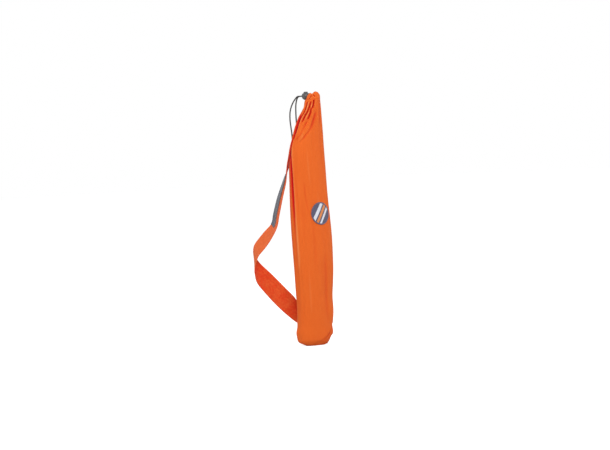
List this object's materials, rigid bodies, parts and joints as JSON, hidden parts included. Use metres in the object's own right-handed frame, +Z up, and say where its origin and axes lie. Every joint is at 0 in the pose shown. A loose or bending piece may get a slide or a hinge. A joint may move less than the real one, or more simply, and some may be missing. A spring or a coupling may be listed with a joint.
{
  "type": "drawstring carry sack",
  "caption": "Long slim cloth sack, packed full and drawn shut at one shoulder, with a sprung cord lock on its drawcord and a webbing carry strap sewn to its back.",
  "frame": {"origin": "centre of the base panel's underside, where the packed sack stands", "axes": "+Z up along the sack to its mouth, +X along its width from seam to seam with the mouth drawn towards it, -Y out of the front panel with the badge, +Y out of the back with the strap"},
  "size_m": [0.1231, 0.1493, 0.5069],
  "materials": {
    "sack_cloth": "matte",
    "seam_cloth": "matte",
    "webbing": "matte",
    "filling": "matte",
    "cord": "matte",
    "lock_plastic": "matte",
    "spring_wire": "satin",
    "label_weave": "matte",
    "badge_weave": "matte",
    "badge_edge": "matte"
  },
  "bodies": {
    "sack": {"sack_sleeve": "sack_cloth", "base_panel": "seam_cloth", "filling": "filling", "side_seam_left": "seam_cloth", "side_seam_right": "seam_cloth", "mouth_hem": "sack_cloth", "drawcord_ring": "cord", "drawcord_loop": "cord", "strap_top_end": "webbing", "strap_low_end": "webbing", "badge_field": "badge_weave", "badge_rim": "badge_edge"},
    "cord_lock": {"lock_barrel": "lock_plastic", "lock_spring": "spring_wire"},
    "lock_button": {"lock_plunger": "lock_plastic"},
    "strap": {"shoulder_strap": "webbing", "strap_label": "label_weave"}
  },
  "joints": [
    {"name": "lock_slide", "type": "slide", "parent": "sack", "child": "cord_lock", "axis": [0, 1, 0], "range_m": [0, 0.008]},
    {"name": "button_press", "type": "slide", "parent": "cord_lock", "child": "lock_button", "axis": [0, 0, -1], "range_m": [0, 0.0022], "stiffness_N_per_m": 400, "springref_m": -0.002, "deforming": ["lock_spring"]},
    {"name": "strap_swing", "type": "hinge", "parent": "sack", "child": "strap", "pos_m": [-0.006, 0.05, 0.22], "axis": [0, 0, 1], "range_deg": [-95, 25]}
  ]
}
